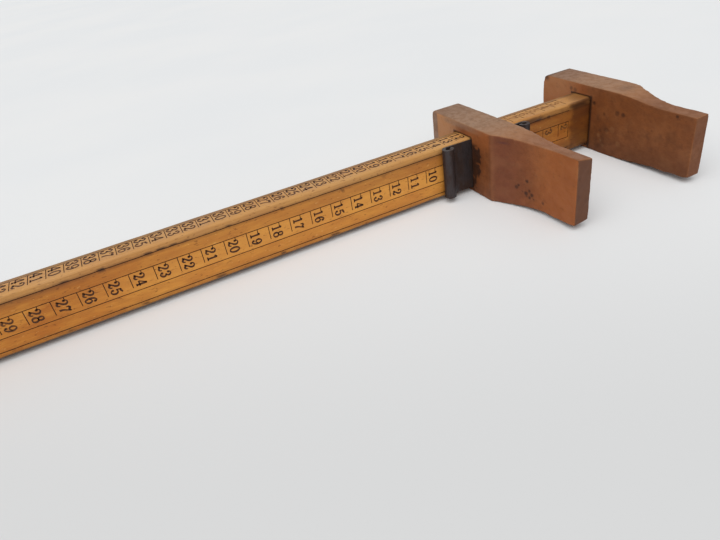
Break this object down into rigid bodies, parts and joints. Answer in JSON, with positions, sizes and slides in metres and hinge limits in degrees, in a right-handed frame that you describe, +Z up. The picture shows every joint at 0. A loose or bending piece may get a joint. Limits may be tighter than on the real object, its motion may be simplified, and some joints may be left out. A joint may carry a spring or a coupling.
{
  "type": "foot measuring stick",
  "caption": "Wooden foot measuring stick: a graduated beam with a fixed heel jaw and a toe jaw that slides along it, held by a leaf spring.",
  "frame": {"origin": "on the plane that the jaws rest on, under the beam's centre line, at the zero of the scale, which is the heel jaw's inner face", "axes": "+X along the beam from the heel jaw towards the toe jaw and the free end, +Y from the beam towards the tips of the jaws' arms, +Z up"},
  "size_m": [0.3588, 0.0965, 0.0336],
  "materials": {
    "boxwood": "worn, yellow to orange varnished boxwood with dark engraved marks",
    "jaw_wood": "reddish brown stained wood, worn dull on top",
    "spring_steel": "blackened steel",
    "pin_steel": "dull iron"
  },
  "bodies": {
    "stick": {"beam": "boxwood", "fixed_jaw": "jaw_wood", "fixed_jaw_pin": "pin_steel"},
    "slider": {"sliding_jaw": "jaw_wood", "friction_spring": "spring_steel"}
  },
  "joints": [
    {"name": "jaw_slide", "type": "slide", "parent": "stick", "child": "slider", "axis": [1, 0, 0], "range_m": [-0.0415, 0.2615]}
  ]
}
